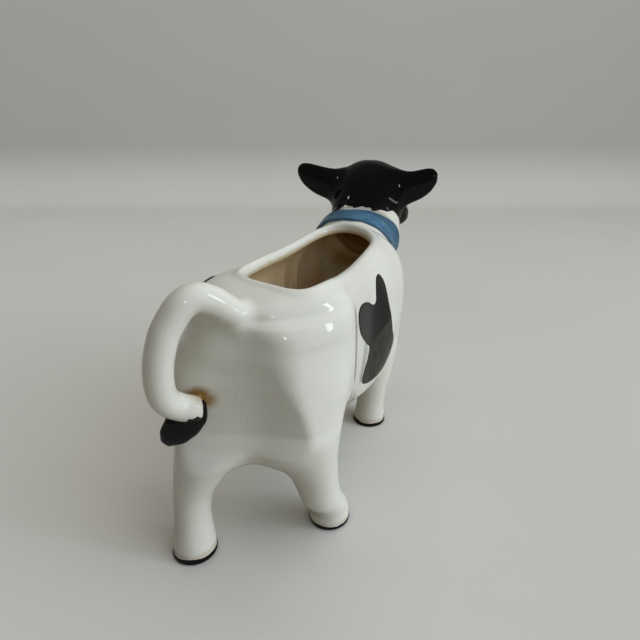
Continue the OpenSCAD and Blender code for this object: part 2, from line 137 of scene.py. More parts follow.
FRONT_RIGHT = [
    [ 0,    14.8, 30.7, 104, 102], [ 4.4,  14.8, 30.9,  96,  96], [ 9.6,  15.0, 31.6,  87,  89],
    [15.6,  15.4, 32.7,  88,  92], [22,    16.5, 33.2, 106, 108], [29.6,  18.2, 31.6, 142, 132],
    [37.8,  19.4, 28.9, 162, 150], [46,    20.0, 27.7, 165, 158], [54,    19.8, 26.4, 150, 152],
    [60.7,  19.1, 23.2, 108, 116]
]
FRONT_LEFT = [
    [ 0,    24.0, 30.7, 104, 102], [ 4.4,  23.9, 30.9,  96,  96], [ 9.6,  23.5, 31.6,  87,  89],
    [15.6,  22.9, 32.7,  88,  92], [22,    22.0, 33.2, 106, 108], [29.6,  20.8, 31.6, 142, 132],
    [37.8,  20.3, 28.9, 162, 150], [46,    20.1, 27.7, 165, 158], [54,    19.8, 26.4, 150, 152],
    [60.7,  19.1, 23.2, 108, 116]
]
# An ear: out along half the span, height of that place, width and thickness there
EARS = [
    [36, 89.0, 100, 100], [56, 89.6, 100, 90], [70, 90.6, 96, 78], [82, 91.8, 86, 66],
    [92, 93.0, 66, 54], [98, 93.8, 36, 36], [100, 94.0, 14, 18]
]
# The left patch's strokes: along, up, and width
LEFT_STROKES = [
    [-24.5, 69.0, 6.0], [-28.0, 68.6, 7.4], [-28.6, 61.0, 12.0], [-20.0, 56.0, 11.0],
    [-12.0, 57.0, 8.0], [ -9.0, 62.0, 6.0], [-11.0, 55.0, 9.0], [-16.0, 47.0, 7.0],
    [-19.0, 40.0, 5.0]
]
NECK_END, COLLAR_LOW, COLLAR_HIGH, HEAD_HOLLOW_LAST = 16, 14, 15, 5
OPEN_X = -0.315 * COW_L
MOUTH_Z, MOUTH_X = 0.764 * COW_H, 0.5 * COW_L
EAR_X, EAR_SWEEP, EAR_ROOT = 0.346 * COW_L, 0.01 * COW_L, 0.44 * HEAD_W
EYE_AT = np.array([0.414 * COW_L, 0.40 * HEAD_W, 0.86 * COW_H])
NOSTRIL_AT = np.array([0.484 * COW_L, 0.18 * HEAD_W, 0.825 * COW_H])
TUFT_TOP = np.array([-0.406 * COW_L, 0.156 * EAR_SPAN, 0.486 * COW_H])
TUFT_TIP = np.array([-0.445 * COW_L, 0.31 * EAR_SPAN, 0.38 * COW_H])
TAIL_FACING = np.array([0.6, 0.8, 0.15])
LEGS = {"rear_left": (REAR_LEFT, LEFT), "rear_right": (REAR_RIGHT, RIGHT),
        "front_left": (FRONT_LEFT, LEFT), "front_right": (FRONT_RIGHT, RIGHT)}

# Places and sizes of the hand finished clay. Each table of pairs goes from a place to a value
WAIST_AT, WAIST_REACH, WAIST_IN = -6, 17, 0.055
BELLY_AT, BELLY_R = np.array([9, 14.6, 48]), (34, 13.2, 17.5)
REAR_FILLET = ((42, 9), (60, 3))
FRONT_FILLET = ((42, 5), (60, 1.5))
TAIL_FILLET = ((72, 0.7), (86, 3.5))
# The ridge between the flat rear face and the right haunch: height, place along, place across
RUMP_EDGE = (
    (30, -84, -26), (40, -77, -25), (47, -73.2, -24), (53.4, -71.7, -22.4), (61.9, -73.5, -21.1),
    (71.3, -75.5, -19.7), (75.6, -76.0, -19), (81.5, -76.6, -17.4), (86.2, -76.6, -15.7),
    (89.3, -76.9, -13.2), (91.8, -77.2, -9.4), (94.4, -77, -1.3))
REAR_LEAN = ((54, 0.24), (76, 0.10))
REAR_DENT, DENT_AT, DENT_REACH = 0.8, -4, 9
HAUNCH_LEAN = ((40, 0.9), (44, 0.55), (62, 0.53), (78, 0.64), (95, 0.95))
HAUNCH_BACK = ((68, 0.2), (76, 0.4), (84, 1.7), (95, 6.0))
HAUNCH_ROUND = ((64, 2), (82, 9))
# The turn of the neck and the head to the cow's right, by the distance up the neck
NECK_AT, NECK_WAY = (72.3, 79.9), (0.821, 0.571)
HEAD_TURN = ((-7, 0), (-3.5, -0.4), (-1.5, -2.4), (3, -2.8), (8, -2.0), (14, -1.3), (20, -1.2))
COLLAR_TURN = ((-18, 0), (-9, 1.8), (-4, 1.6), (-1, 0))
CROWN_Z, CROWN_Y, CROWN_REACH, CROWN_SPREAD = 131, 10, 6, 0.10
# How far past the neck's end the black begins, from side to side
BLACK_LINE = ((-19, 6), (-17, 4.5), (-14, 1.0), (-8, -1.6), (0, -1.8), (6, -0.9), (14, -0.7))
COLLAR_RISE = ((-24, 3.0), (-10, 0.8), (0, 0))
# Fillets and rounded edges where members meet
NECK_FILLET, BELLY_FILLET, BEAD_FILLET, CAVITY_FILLET = 3, 4, 1.8, 1.5
RUMP_ROUND, RIM_ROUND, HEAD_EDGE_ROUND = 1.6, 2.6, 1.2
LEFT_EAR_FILLET, RIGHT_EAR_FILLET, CUP_ROUND, BROW_FILLET, LIPS_FILLET = 6, 9, 1.5, 2.5, 2.5
LID_FILLET, NOSTRIL_ROUND = 1.2, 1.2
SEAM_INSET, LEAST_WALL = 0.5, 2.2
# How far the white runs under the head's black, stops above the table and is worn at the foot
WHITE_UNDER, WHITE_UP, WORN_AT, WORN_REACH = 1.5, 1.2, 3.0, 1.2
HEAD_INSET, COLLAR_ROUND, COLLAR_SUNK = 0.22, 1.4, 0.9
COLLAR_SHARES, COLLAR_LOW_IN, COLLAR_HIGH_OUT, COLLAR_MID_Z = (-0.2, 1.2), 1.2, 0.3, 90
PATCH_UP, PATCH_ROUND, PATCH_SUNK, STROKE_FILLET = 0.3, 0.7, 0.7, 3
FOOT_UP, FOOT_LINE, FOOT_ROUND, SOLE_UP, SOLE_ROUND = 0.25, HOOF_H - 0.3, 0.5, 0.15, 1.2
TUFT_BULGE = ((16,), (52,), (80,), (96,), (100,), (98,), (88,), (68,), (34,))
RUN_UP, RUN_RISE, RUN_FILLET = 0.16, 1.4, 1.2
EYE_H, EYE_OUT, EYE_OVAL = 1.6, 0.7, (1.06, 0.94)
CUP_AT, CUP_R, CUP_TURN = np.array([EAR_X + 5.6, 0.79 * EAR_SPAN / 2, 0.913 * COW_H]), (4.6, 9.5, 4.4), 8
BROW_AT, BROW_R = np.array([-0.6, -0.6, 2.6]), (5.2, 2.6, 2.4)
LID_LONG, LID_HIGH, LID_OUT, LID_R = 4.1, 3.4, 1.7, 0.75
NOSTRIL_IN, NOSTRIL_R = np.array([1.0, 0, 0.4]), (1.9, 1.5, 1.5)
RIM_INSET, RIM_BLOCK_Z = 1.75, (80.0, 95.0, 110.0, 125.0)
MOUTH_WAY_X = (80.0, 88.0, 96.0, 104.0)
LIPS_BACK = 0.5
STAIN_AT, STAIN_R = (-80.0, 14.0, 66.6), (5, 5.5, 3.6)
TAIL_END, RUN_REACH = np.array([-0.419 * COW_L, 0.157 * EAR_SPAN, 0.479 * COW_H]), 6.5
RIGHT_OUTLINE = [
    (4.2, 90.4), (6.8, 88.4), (8.8, 85.4), (11.2, 79.8), (13.8, 74.1), (18.2, 66.4), (22.0, 57.8),
    (25.8, 52.4), (26.9, 47.6), (24.6, 44.2), (18.7, 42.2), (10.9, 41.2), (3.9, 41.6), (-3.1, 42.3),
    (-8.8, 43.3), (-14.4, 45.2), (-18.0, 47.8), (-18.8, 50.8), (-16.4, 54.2), (-12.4, 57.2),
    (-10.4, 61.4), (-15.6, 64.8), (-21.6, 68.7), (-29.2, 73.9), (-34.4, 78.9), (-36.7, 84.0),
    (-34.6, 87.0), (-27.3, 87.1), (-15.5, 83.8), (-8.6, 80.6), (-4.4, 79.3), (-2.6, 80.6),
    (-2.3, 84.2), (-1.0, 88.2), (1.2, 90.2)]

# Voxel sizes, and the boxes of the fields
BODY_VOXEL, HEAD_VOXEL, SMALL_VOXEL = ((0.6, 0.45, 0.35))
COLLAR_VOXEL = 0.4
BODY_BOX = (-101, -42, -3), (101, 42, 138)
HEAD_BOX = (40, -41, 72), (100, 41, 137)
COLLAR_BOX = (34, -27, 66), (76, 27, 118)
RIGHT_PATCH_BOX = (-41, -34, 36), (34, -12, 96)
LEFT_PATCH_BOX = (-70, 12, 46), (-9, 34, 103)
TUFT_BOX = (-97, 4, 45), (-72, 34, 74)
FOOT_REACH, FOOT_LOW, FOOT_HIGH = 11, -1, 7


# Curves through tables, and rings of points
def cubic(a, b, c, d, f):
    """A smooth curve from b to c at the shares f, where a and d are the points before and after."""
    return b + f * ((c - a) / 2 + f * ((2 * a - 5 * b + 4 * c - d) / 2
                                       + f * (3 * b - 3 * c + d - a) / 2))


def smooth(table, steps):
    """A table's rows with a smooth curve through them, at even steps."""
    t = np.array(table, float)
    u = np.linspace(0, len(t) - 1, steps + 1)
    i = np.minimum(u.astype(int), len(t) - 1)
    rows = (t[np.clip(i + k, 0, len(t) - 1)] for k in (-1, 0, 1, 2))
    return cubic(*rows, (u - i)[:, None])


def closed_curve(points, per):
    """A smooth closed curve through points, with "per" places to each span."""
    p = np.array(points, float)
    f = np.linspace(0, 1, per, endpoint=False)[:, None]
    return np.vstack([cubic(*(p[(k + j) % len(p)] for j in (-1, 0, 1, 2)), f) for k in range(len(p))])


def ramp(value, table):
    """What a table of pairs gives for a value, in straight steps between its pairs."""
    return np.interp(value, *zip(*table))


def unit(v):
    return v / np.linalg.norm(v, axis=-1, keepdims=True)


def sections(table, half_w):
    return np.array(table, float) * [COW_L, COW_H, COW_L, COW_H, half_w, 1, 100, 100] / 100


def section_rings(s, sides, grow=0.0, shift=0.0):
    """Rings round body or head sections, grown outward and shifted along by some millimetres."""
    top, low = s[:, 0:2], s[:, 2:4]
    lean = top - low
    h = np.linalg.norm(lean, axis=1)[:, None]
    up = lean / h
    mid = low + lean * s[:, 5:6] + np.array([1, 0]) * np.reshape(shift, (-1, 1))
    a = np.linspace(0, 2 * np.pi, sides, endpoint=False)[None]
    c, n = np.cos(a), np.sin(a)
    e = 2 / np.where(n >= 0, s[:, 6:7], s[:, 7:8])
    y = (s[:, 4:5] + grow) * np.sign(c) * np.abs(c) ** e
    reach = np.where(n >= 0, h * (1 - s[:, 5:6]) + grow, h * s[:, 5:6] + grow)
    v = reach * np.sign(n) * np.abs(n) ** e
    return np.stack([mid[:, :1] + up[:, :1] * v, y, mid[:, 1:] + up[:, 1:] * v], 2)


def section_plane(row):
    """A section's plane: its low point and the way ahead across it, both along and up."""
    up = unit(row[0:2] - row[2:4])
    way = np.array([up[1], -up[0]])
    return row[2:4], way if way[0] > 0 else -way


def beyond(x, z, place, way):
    """How far places are ahead of a section's plane."""
    return (x - place[0]) * way[0] + (z - place[1]) * way[1]


def oval_rings(places, across, up, sides):
    a = np.linspace(0, 2 * np.pi, sides, endpoint=False)[None, :, None]
    return places[:, None] + across[:, None] * np.cos(a) + up[:, None] * np.sin(a)


def tube(rings, loop=False):
    """Points, quads and triangles of rings joined into a closed solid."""
    rings = np.asarray(rings, float)
    k, n = rings.shape[:2]
    pts = rings.reshape(-1, 3)
    rows = np.arange(k if loop else k - 1)[:, None]
    cols = np.arange(n)[None]
    a = rows * n + cols
    b = rows * n + (cols + 1) % n
    c = (rows + 1) % k * n + (cols + 1) % n
    d = (rows + 1) % k * n + cols
    quads = np.stack([a, b, c, d], 2).reshape(-1, 4)
    tris = np.zeros((0, 3), int)
    if not loop:
        ends = np.array([rings[0].mean(0), rings[-1].mean(0)])
        i = np.arange(n)
        j = (i + 1) % n
        first = np.stack([np.full(n, len(pts)), j, i], 1)
        last = np.stack([np.full(n, len(pts) + 1), (k - 1) * n + i, (k - 1) * n + j], 1)
        tris = np.vstack([first, last])
        pts = np.vstack([pts, ends])
    return pts, quads, tris


def outward(mesh):
    """The same mesh with its faces turned outward."""
    pts, quads, tris = mesh
    t = np.vstack([tris, quads[:, :3], quads[:, [0, 2, 3]]])
    p = pts[t]
    if np.einsum("ij,ij->", p[:, 0], np.cross(p[:, 1], p[:, 2])) < 0:
        return pts, quads[:, ::-1], tris[:, ::-1]
    return mesh


# Distance fields on a grid of voxels, blended and turned back into meshes
class Field:
    def __init__(self, low, high, voxel):
        self.h = voxel
        self.start = np.floor(np.array(low) / voxel).astype(int)
        self.n = np.ceil(np.array(high) / voxel).astype(int) - self.start + 1
        self.way = vdb.createLinearTransform(voxelSize=voxel)

    def axes(self):
        x, y, z = ((self.start[k] + np.arange(self.n[k], dtype=np.float32)) * self.h for k in range(3))
        return x[:, None, None], y[None, :, None], z[None, None, :]

    def solid(self, mesh, reach=10.0):
        """Distance from a closed mesh, negative inside, up to "reach" either way."""
        pts, quads, tris = outward(mesh)
        grid = vdb.FloatGrid.createLevelSetFromPolygons(
            pts.astype(np.float32), triangles=tris.astype(np.uint32), quads=quads.astype(np.uint32),
            transform=self.way, halfWidth=reach / self.h)
        out = np.empty(self.n, np.float32)
        grid.copyToArray(out, ijk=tuple(int(v) for v in self.start))
        return out

    def mesh(self, values):
        edge = 2.5 * self.h
        grid = vdb.FloatGrid(edge)
        grid.copyFromArray(np.clip(values, -edge, edge).astype(np.float32),
                           ijk=tuple(int(v) for v in self.start))
        grid.transform = self.way
        pts, quads = grid.convertToQuads(isovalue=0.0)
        return outward((np.array(pts, float), np.array(quads, int), np.zeros((0, 3), int)))

    def at(self, values, pts):
        """The field between its voxels, at some points."""
        u = np.array(pts) / self.h - self.start
        i = np.clip(np.floor(u).astype(int), 0, self.n - 2)
        f = np.clip(u - i, 0, 1)
        out = 0
        for corner in np.ndindex(2, 2, 2):
            share = np.abs(1 - np.array(corner) - f).prod(1)
            out = out + share * values[tuple((i + corner).T)]
        return out


def join(a, b, k):
    """Union of two fields with a fillet of about k."""
    h = np.maximum(k - np.abs(a - b), 0) / k
    return np.minimum(a, b) - h * h * k / 4


def cut(a, b, k):
    """Field a less field b, with its edge rounded by about k."""
    return -join(-a, b, k)


def relax(mesh, passes, shrink=0.5, swell=-0.52):
    """Smooths a mesh without shrinking it."""
    pts, quads, tris = mesh
    e = np.vstack([quads[:, [0, 1]], quads[:, [1, 2]], quads[:, [2, 3]], quads[:, [3, 0]]])
    e = np.vstack([e, e[:, ::-1]])
    count = np.bincount(e[:, 0], minlength=len(pts))[:, None]
    for k in range(passes * 2):
        total = np.stack([np.bincount(e[:, 0], pts[e[:, 1], c], len(pts)) for c in range(3)], 1)
        pts = pts + (total / count - pts) * (shrink if k % 2 == 0 else swell)
    return pts, quads, tris


def turned(pts):
    """The places once the neck and the head are set a little to the cow's right."""
    x, y, z = pts.T
    t = beyond(x, z, NECK_AT, NECK_WAY)
    shift = ramp(t, HEAD_TURN)
    shift += ramp(t, COLLAR_TURN)
    shift += CROWN_SPREAD * (y - CROWN_Y) * np.exp(-((z - CROWN_Z) / CROWN_REACH) ** 2)
    near = np.clip((38 - np.abs(y)) / 20, 0, 1) * np.clip((x - 30) / 10, 0, 1)
    return pts + np.column_stack([0 * y, shift * near, 0 * y])


# Blender objects
def make(name, mesh, material, nodes, marks=None):
    """Makes a piece that replaces some CAD nodes, with named values at its points."""
    pts, quads, tris = outward(mesh)
    me = bpy.data.meshes.new(name)
    low, high = np.array(cad_box[0]), np.array(cad_box[1])
    pts = np.clip(turned(pts) * MM, low, high)
    me.from_pydata(pts.tolist(), [], quads.tolist() + tris.tolist())
    me.polygons.foreach_set("use_smooth", [True] * len(me.polygons))
    for key, values in (marks or {}).items():
        mark = me.attributes.new(key, "FLOAT", "POINT")
        mark.data.foreach_set("value", np.asarray(values, np.float32))
    me.materials.append(material)
    me.validate()
    obj = bpy.data.objects.new(name, me)
    scene.collection.objects.link(obj)
    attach(obj, "root")
    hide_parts(*nodes)


# Node trees
class Tree:
    """A node tree and the ways to add to it."""
    def __init__(self, tree):
        self.t = tree

    def link(self, value, socket):
        """Joins a node's output to a socket, or gives the socket a plain value."""
        if isinstance(value, bpy.types.NodeSocket):
            self.t.links.new(value, socket)
        else:
            socket.default_value = value

    def node(self, kind, ins=(), **props):
        n = self.t.nodes.new(kind)
        for k, v in props.items():
            setattr(n, k, v)
        for k, v in dict(ins).items():
            self.link(v, n.inputs[k])
        return n

    def span(self, value, a, b, c=0.0, d=1.0):
        """A value that goes softly from c to d while another goes from a to b."""
        return self.node("ShaderNodeMapRange", {
            "Value": value, "From Min": a, "From Max": b, "To Min": c, "To Max": d},
            interpolation_type="SMOOTHSTEP").outputs["Result"]

    def math(self, op, a, b=0.0):
        return self.node("ShaderNodeMath", {0: a, 1: b}, operation=op).outputs[0]

    def mix(self, fac, a, b):
        """Colour a or b, by a factor that a node gives."""
        n = self.node("ShaderNodeMix", {0: fac}, data_type="RGBA")
        for k, colour in ((6, a), (7, b)):
            self.link((*colour, 1) if isinstance(colour, tuple) else colour, n.inputs[k])
        return n.outputs[2]

    def seen(self):
        """1 where a ray comes from the camera, a mirror or glass, and 0 where it only lights."""
        path = self.node("ShaderNodeLightPath").outputs
        looked = self.math("MAXIMUM", path["Is Camera Ray"], path["Is Glossy Ray"])
        return self.math("MAXIMUM", looked, path["Is Transmission Ray"])


class Mat(Tree):
    """A material on the principled shader."""
    def __init__(self, name):
        self.m = bpy.data.materials.new(name)
        self.m.use_nodes = True
        super().__init__(self.m.node_tree)
        self.b = self.t.nodes["Principled BSDF"]
        self.co = self.node("ShaderNodeTexCoord").outputs["Object"]

    def noise(self, scale, detail=3.0, rough=0.5, distort=0.0, co=None):
        return self.node("ShaderNodeTexNoise", {
            "Vector": co or self.co, "Scale": scale, "Detail": detail, "Roughness": rough,
            "Distortion": distort}).outputs["Fac"]

    def ragged(self, name, noise, spread):
        """A mark of the mesh, made uneven by a noise."""
        return self.math("ADD", self.mark(name), self.span(noise, 0.3, 0.7, -spread, spread))

    def stretched(self, scale):
        """Object coordinates squeezed along each axis by "scale"."""
        return self.node("ShaderNodeMapping", {"Vector": self.co, "Scale": scale}).outputs["Vector"]

    def mark(self, name):
        return self.node("ShaderNodeAttribute", attribute_name=name).outputs["Fac"]

    def put(self, key, value):
        self.link(value, self.b.inputs[key])

    def bump(self, layers):
        """Bump from (height, strength in mm) layers."""
        normal = None
        for height, deep in layers:
            n = self.node("ShaderNodeBump", {"Height": height, "Distance": deep * MM, "Strength": 1.0})
            if normal:
                self.link(normal, n.inputs["Normal"])
            normal = n.outputs["Normal"]
        self.put("Normal", normal)
        if self.b.inputs["Coat Weight"].default_value:
            self.put("Coat Normal", normal)


def glaze(mat, coat_rough=0.035, coat=1.0, coat_ior=1.5):
    """A clear glassy coat over the colour."""
    mat.put("IOR", 1.5)
    mat.put("Specular IOR Level", 0.0)
    mat.put("Coat Weight", coat)
    mat.put("Coat Roughness", coat_rough)
    mat.put("Coat IOR", coat_ior)


MILK = (0.80, 0.80, 0.745), (0.745, 0.74, 0.68)
RIM_CLAY = (0.70, 0.62, 0.46), (0.64, 0.55, 0.39)
# The cavity's tan is painted shade and warm bounce light of the hollow; its two tones vary at random
CAVITY_SHADE = (0.76, 0.60, 0.37), (0.62, 0.47, 0.27)
FOOT_EDGE, STAIN, SPECK = (0.50, 0.38, 0.24), (0.33, 0.18, 0.025), (0.30, 0.22, 0.15)
INK = (0.002, 0.002, 0.0025), (0.005, 0.0045, 0.0045)
THIN_INK = (0.026, 0.023, 0.019), (0.048, 0.041, 0.032)
# The tan inside the head and neck is painted shade of the hollow
HEAD_CAVITY_SHADE = (0.52, 0.39, 0.22)
COLLAR_BLUE = (0.035, 0.10, 0.18), (0.085, 0.21, 0.34)
COLLAR_EDGE = (0.025, 0.06, 0.11)
PUPIL, EYE_WHITE = (0.008, 0.007, 0.007), (0.78, 0.77, 0.73)
SHEET = (0.74, 0.735, 0.715), (0.70, 0.695, 0.675)
SHEET_LIT = (0.33, 0.30, 0.235)


def white_glaze():
    """Milk white outside, thin and clay coloured at the rim, tan in the cavity as painted shade and warm
    bounce light of the hollow.
    """
    m = Mat("white_glaze")
    glaze(m)
    broad, fine = m.noise(22, 4), m.noise(160, 3)
    white = m.mix(m.span(broad, 0.35, 0.7), *MILK)
    ragged = m.ragged("depth", fine, 0.35)
    clay = m.mix(m.span(broad, 0.3, 0.7), *RIM_CLAY)
    # Painted shade: the tan of the cavity stands in for its shade and warm bounce light
    inner = m.mix(m.span(m.noise(24, 1, co=m.stretched((1, 1, 0.3))), 0.35, 0.65), *CAVITY_SHADE)
    colour = m.mix(m.span(ragged, 1.6, 2.8), white, clay)
    colour = m.mix(m.span(ragged, 2.8, 4.2), colour, inner)
    edge = m.span(m.ragged("edge", fine, 0.3), 0.25, 1.0)
    colour = m.mix(m.math("MULTIPLY", edge, 0.45), colour, FOOT_EDGE)
    patchy = m.span(m.noise(260, 3), 0.3, 0.5, 0.55, 1.0)
    stain = m.math("MULTIPLY", m.span(m.mark("stain"), 0.0, 1.0), patchy)
    colour = m.mix(m.math("MULTIPLY", stain, 0.95), colour, STAIN)
    specks = m.span(m.noise(900, 2), 0.74, 0.79)
    colour = m.mix(m.math("MULTIPLY", specks, 0.35), colour, SPECK)
    m.put("Base Color", colour)
    m.put("Roughness", m.span(broad, 0.3, 0.7, 0.16, 0.26))
    m.put("Subsurface Weight", 0.06)
    m.put("Subsurface Radius", (0.004, 0.003, 0.002))
    m.bump([(m.noise(28, 2), 0.35), (m.noise(90, 2), 0.05), (m.noise(700, 2), 0.006)])
    return m.m


def black_glaze(name, thin=False, inside=False, coat=0.45):
    """Black, grey where a mark says that it lies thin, and tan where it says inside, which is painted shade
    of the hollow.
    """
    m = Mat(name)
    glaze(m, 0.03, coat, 1.42)
    broad, fine = m.noise(40, 4, distort=0.4), m.noise(300, 3)
    colour = m.mix(m.span(broad, 0.35, 0.7), *INK)
    if thin:
        grey = m.mix(m.span(fine, 0.3, 0.7), *THIN_INK)
        colour = m.mix(m.span(m.ragged("thin", broad, 0.15), 0.25, 0.9), colour, grey)
    # Painted shade: tan where the depth mark says inside
    if inside:
        colour = m.mix(m.span(m.mark("depth"), 0.9, 1.8), colour, HEAD_CAVITY_SHADE)
    m.put("Base Color", colour)
    m.put("Roughness", m.span(broad, 0.3, 0.7, 0.12, 0.2))
    m.bump([(m.noise(35, 2), 0.3), (m.noise(500, 3), 0.01)])
    return m.m


def blue_glaze():
    """Brushed blue, in streaks along the strip, and dark along its edges."""
    m = Mat("blue_glaze")
    glaze(m, 0.05)
    streak = m.noise(60, 5, 0.6, co=m.stretched((1, 0.35, 2.2)))
    fine = m.noise(240, 4, 0.6, co=m.stretched((1.4, 0.2, 2.6)))
    tone = m.math("ADD", m.math("MULTIPLY", streak, 0.6), m.math("MULTIPLY", fine, 0.4))
    colour = m.mix(m.span(tone, 0.34, 0.62), *COLLAR_BLUE)
    edge = m.span(m.ragged("edge", fine, 0.3), 0.3, 1.0)
    colour = m.mix(m.math("MULTIPLY", edge, 0.6), colour, COLLAR_EDGE)
    m.put("Base Color", colour)
    m.put("Roughness", m.span(tone, 0.3, 0.7, 0.22, 0.36))
    m.bump([(streak, 0.12), (m.noise(500, 2), 0.008)])
    return m.m


def eye_glaze():
    """A painted pupil on a white dome."""
    m = Mat("eye_glaze")
    glaze(m)
    ragged = m.ragged("off_axis", m.noise(700, 3), 0.12)
    m.put("Base Color", m.mix(m.span(ragged, 1.55, 1.75), PUPIL, EYE_WHITE))
    m.put("Roughness", m.span(m.noise(200, 2), 0.3, 0.7, 0.1, 0.18))
    m.bump([(m.noise(400, 2), 0.01)])
    return m.m


WHITE = white_glaze()
BLACK = black_glaze("black_glaze")
HEAD_BLACK = black_glaze("head_glaze", thin=True, inside=True)
PATCH = black_glaze("patch_glaze", thin=True, coat=0.3)
BLUE = blue_glaze()
EYE = eye_glaze()


# Solids of the clay, from the tables
def body_rows(steps):
    """Sections of the body, a little drawn in at the waist between haunch and shoulder."""
    rows = smooth(sections(BODY, BARREL_W / 2), steps)
    rows[:, 4] *= 1 - WAIST_IN * np.exp(-((rows[:, 0] - WAIST_AT) / WAIST_REACH) ** 2)
    return rows


# The head starts from the neck's end, whose width is here a share of the head's. The seam's
# sections run across that end, and fill the groove that two solids leave there
NECK_ROW = np.array(BODY[NECK_END], float) * [1, 1, 1, 1, BARREL_W / HEAD_W, 1, 1, 1]
HEAD_ALL = [NECK_ROW.tolist()] + HEAD
BODY_ROWS = body_rows(160)
HEAD_ROWS = smooth(sections(HEAD_ALL, HEAD_W / 2), 120)
SEAM_ROWS = smooth(np.vstack([sections(BODY[NECK_END - 3:NECK_END + 1], BARREL_W / 2),
                              sections(HEAD[:3], HEAD_W / 2)]), 60)
NECK_PLANE = section_plane(sections(BODY, BARREL_W / 2)[NECK_END])
HOLLOW_STEPS = 90


def neck_and_barrel(f):
    """The body and the head without ears, in a field."""
    form = join(f.solid(tube(section_rings(BODY_ROWS, 128))),
                f.solid(tube(section_rings(HEAD_ROWS, 112))), NECK_FILLET)
    return np.minimum(form, f.solid(tube(section_rings(SEAM_ROWS, 112))) + SEAM_INSET)


def hollow(f, shift=0.0):
    """The cavity of the barrel, the neck and the head."""
    head_rows = smooth(sections(HEAD_ALL[:HEAD_HOLLOW_LAST + 2], HEAD_W / 2), 60)
    return join(f.solid(tube(section_rings(body_rows(HOLLOW_STEPS), 96, -WALL, shift))),
                f.solid(tube(section_rings(head_rows, 80, -WALL))), NECK_FILLET)


def leg_mesh(table, side):
    t = smooth(table, 90) / 100
    place = np.stack([t[:, 1] * COW_L, side * t[:, 2] * BARREL_W, t[:, 0] * COW_H], 1)
    zero = np.zeros(len(t))
    return tube(oval_rings(place, np.stack([t[:, 3] * HOOF_L / 2, zero, zero], 1),
                           np.stack([zero, t[:, 4] * HOOF_W / 2, zero], 1), 72))


def tail_mesh():
    t = smooth(TAIL, 130) / 100
    place = t[:, :3] * [COW_L, EAR_SPAN, COW_H]
    way = unit(np.gradient(place, axis=0))
    across = unit(np.cross(way, TAIL_FACING))
    r = t[:, 3:4] * TAIL_D / 2
    return tube(oval_rings(place, across * r, np.cross(way, across) * r, 48))


def ear_mesh(side):
    """An ear; the left one is a little shorter and rolled up further, as pressed by hand."""
    length, roll = (0.975, 0.024) if side == LEFT else (1, 0.016)
    t = smooth(EARS, 48) / 100
    out_to = side * t[:, 0] * EAR_SPAN / 2 * length
    place = np.stack([EAR_X - t[:, 0] * EAR_SWEEP, out_to, t[:, 1] * COW_H + roll * out_to], 1)
    zero = np.zeros(len(t))
    return tube(oval_rings(place, np.stack([t[:, 3] * EAR_T / 2, zero, zero], 1),
                           np.stack([zero, zero, t[:, 2] * EAR_ROOT / 2], 1), 64))


def ball(centre, radii, turn=None, n=32):
    """A ball with three radii, turned by a matrix."""
    a = np.linspace(0, np.pi, n // 2 + 1)[1:-1]
    ring = np.linspace(0, 2 * np.pi, n, endpoint=False)
    pts = np.stack([np.sin(a)[:, None] * np.cos(ring), np.sin(a)[:, None] * np.sin(ring),
                    np.repeat(np.cos(a)[:, None], n, 1)], 2) * np.array(radii)
    if turn is not None:
        pts = pts @ np.array(turn).T
    return tube(pts + np.array(centre))


def bent_rod(points, radius, n):
    """A round rod through points."""
    p = smooth(points, 8 * (len(points) - 1))
    way = unit(np.gradient(p, axis=0))
    side = unit(np.cross(way, [0.13, 0.29, 0.95]))
    return tube(oval_rings(p, side * radius, np.cross(way, side) * radius, n))


def rump_faces(form, x, y, z):
    """Cuts the rear face and the right haunch flat, with a soft ridge between them."""
    high, along, across = zip(*RUMP_EDGE)
    edge_x, edge_y = np.interp(z, high, along), np.interp(z, high, across)
    dent = REAR_DENT * np.exp(-((y - DENT_AT) / DENT_REACH) ** 2)
    rear = edge_x - ramp(z, REAR_LEAN) * (y - edge_y) + dent
    form = cut(form, (x - rear).astype(np.float32), RUMP_ROUND)
    lean = ramp(z, HAUNCH_LEAN)
    haunch = (y - edge_y + lean * (x - edge_x)) / np.hypot(1, lean) + ramp(z, HAUNCH_BACK)
    return cut(form, haunch.astype(np.float32), ramp(z, HAUNCH_ROUND).astype(np.float32))


def clay_form(f):
    """The outer form of the clay in a field: body, neck, head and legs, grown into each other."""
    x, y, z = f.axes()
    form = neck_and_barrel(f)
    for side in (LEFT, RIGHT):
        form = join(form, f.solid(ball(BELLY_AT * [1, side, 1], BELLY_R)), BELLY_FILLET)
    for name, leg in LEGS.items():
        fillet = ramp(z, REAR_FILLET if name.startswith("rear") else FRONT_FILLET)
        form = join(form, f.solid(leg_mesh(*leg)), fillet.astype(np.float32))
    return rump_faces(form, x, y, z)


def black_line(y):
    """How far past the neck's end the black begins, at places from side to side."""
    return ramp(y, BLACK_LINE).astype(np.float32)


# The body with its legs, tail and filling opening
def back_height(p):
    """Height of the back at places given along and across it."""
    s = np.stack([np.interp(p[:, 0], BODY_ROWS[:, 0], BODY_ROWS[:, k]) for k in range(8)], 1)
    mid = s[:, 3] + (s[:, 1] - s[:, 3]) * s[:, 5]
    out_to = np.clip(np.abs(p[:, 1]) / s[:, 4], 0, 1)
    return mid + (s[:, 1] - mid) * (1 - out_to ** s[:, 6]) ** (1 / s[:, 6])


def opening_rim():
    """The rim of the opening, seen from above, and the way outward at each of its places."""
    rim = closed_curve([(OPEN_X + x / 100 * OPEN_L, y / 100 * OPEN_W / 2) for x, y in OPENING], 8)
    along = np.roll(rim, -1, 0) - np.roll(rim, 1, 0)
    out = unit(np.stack([along[:, 1], -along[:, 0]], 1))
    return rim, out if np.sum(out * (rim - rim.mean(0))) > 0 else -out


